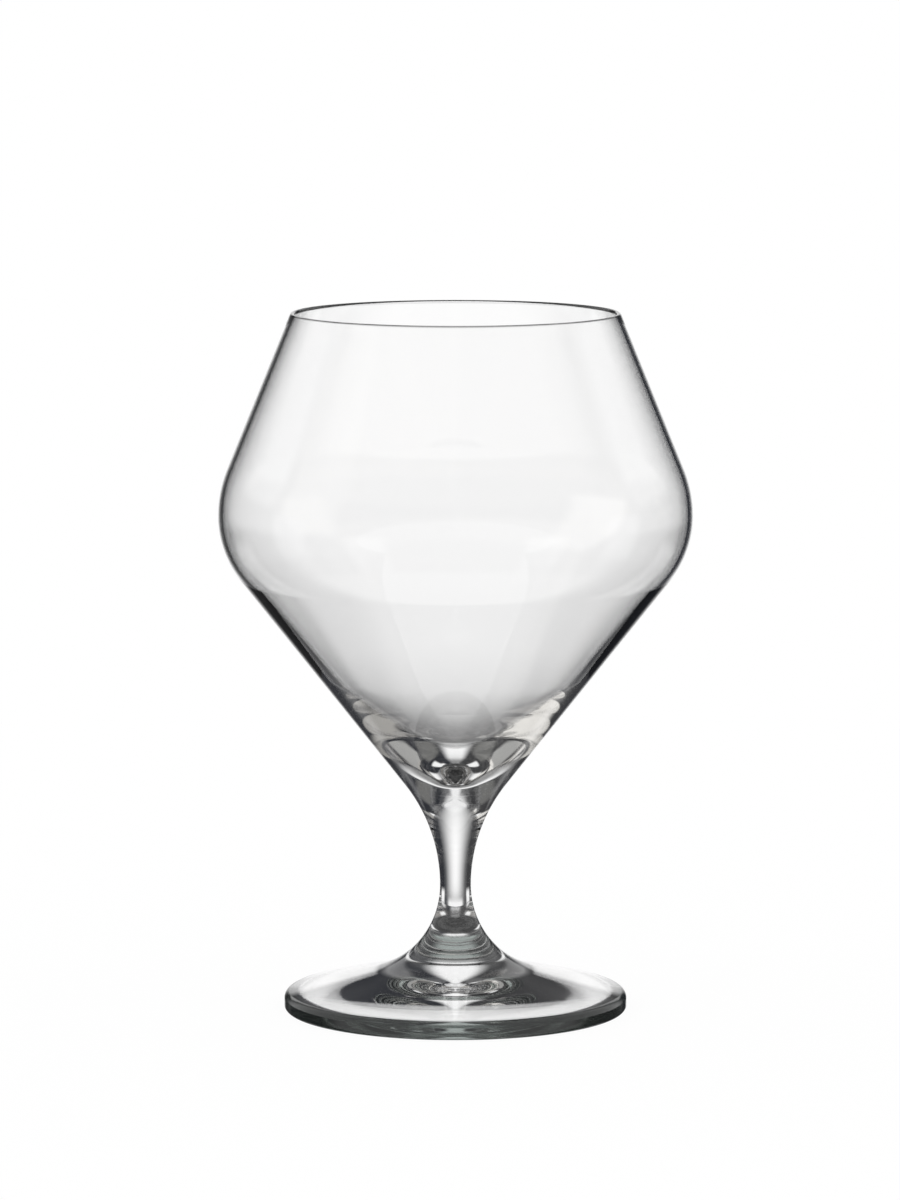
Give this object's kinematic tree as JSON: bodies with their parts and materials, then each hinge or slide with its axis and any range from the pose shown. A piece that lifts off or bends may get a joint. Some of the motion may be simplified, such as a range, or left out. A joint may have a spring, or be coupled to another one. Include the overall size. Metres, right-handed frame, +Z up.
{
  "type": "stemmed beer glass",
  "caption": "Clear stemmed beer glass: a diamond-shaped bowl with a narrowed mouth, a heavy solid base, a short waisted stem and a round flared foot.",
  "frame": {"origin": "centre of the circle that the foot stands on", "axes": "+Z up along the axis that the glass is turned about; +X to the right in the picture"},
  "size_m": [0.104, 0.104, 0.154],
  "materials": {
    "bowl_glass": "clear, blown and fire-polished",
    "stem_glass": "clear, drawn and fire-polished",
    "foot_glass": "clear, pressed, with a faint grey-green edge"
  },
  "bodies": {
    "root": {"bowl": "bowl_glass", "stem": "stem_glass", "foot": "foot_glass"}
  },
  "joints": []
}
